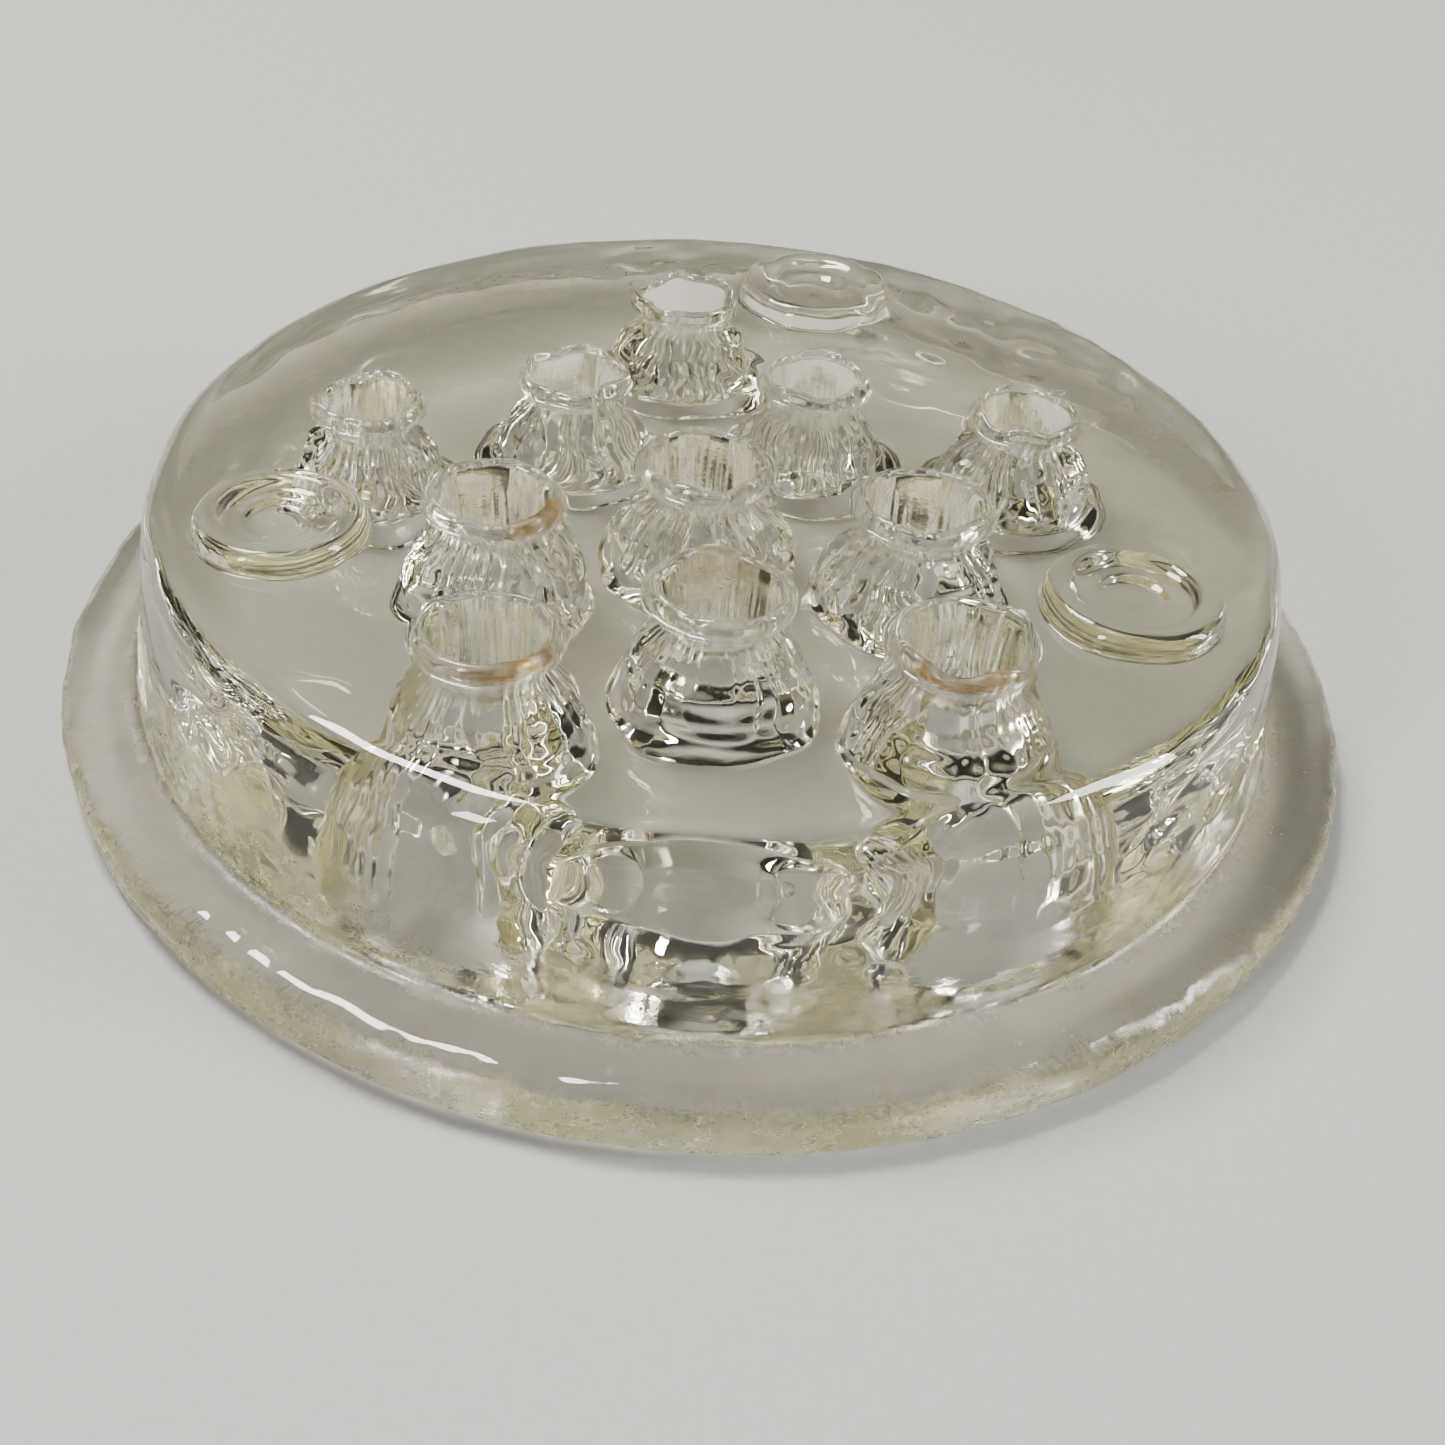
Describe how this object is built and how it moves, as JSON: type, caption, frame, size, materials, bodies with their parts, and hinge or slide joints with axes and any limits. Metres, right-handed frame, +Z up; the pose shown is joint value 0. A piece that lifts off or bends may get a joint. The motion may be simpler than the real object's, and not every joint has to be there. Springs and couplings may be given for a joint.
{
  "type": "flower frog",
  "caption": "Round clear pressed-glass flower frog: a stepped disc with waisted stem holes through it and low dished bosses on top.",
  "frame": {"origin": "on the block's axis, in the plane of the flat underside that it stands on", "axes": "+Z up along the stem holes, towards the bosses; -Y towards the front, where one hole of the inner ring is nearest; +X to the right seen from the front"},
  "size_m": [0.114, 0.114, 0.0234],
  "materials": {
    "glass": "clear pressed soda-lime glass with a faint warm tint, fire-polished top, wrinkled hole walls and a frosted flange edge"
  },
  "bodies": {
    "root": {"glass_block": "glass"}
  },
  "joints": []
}
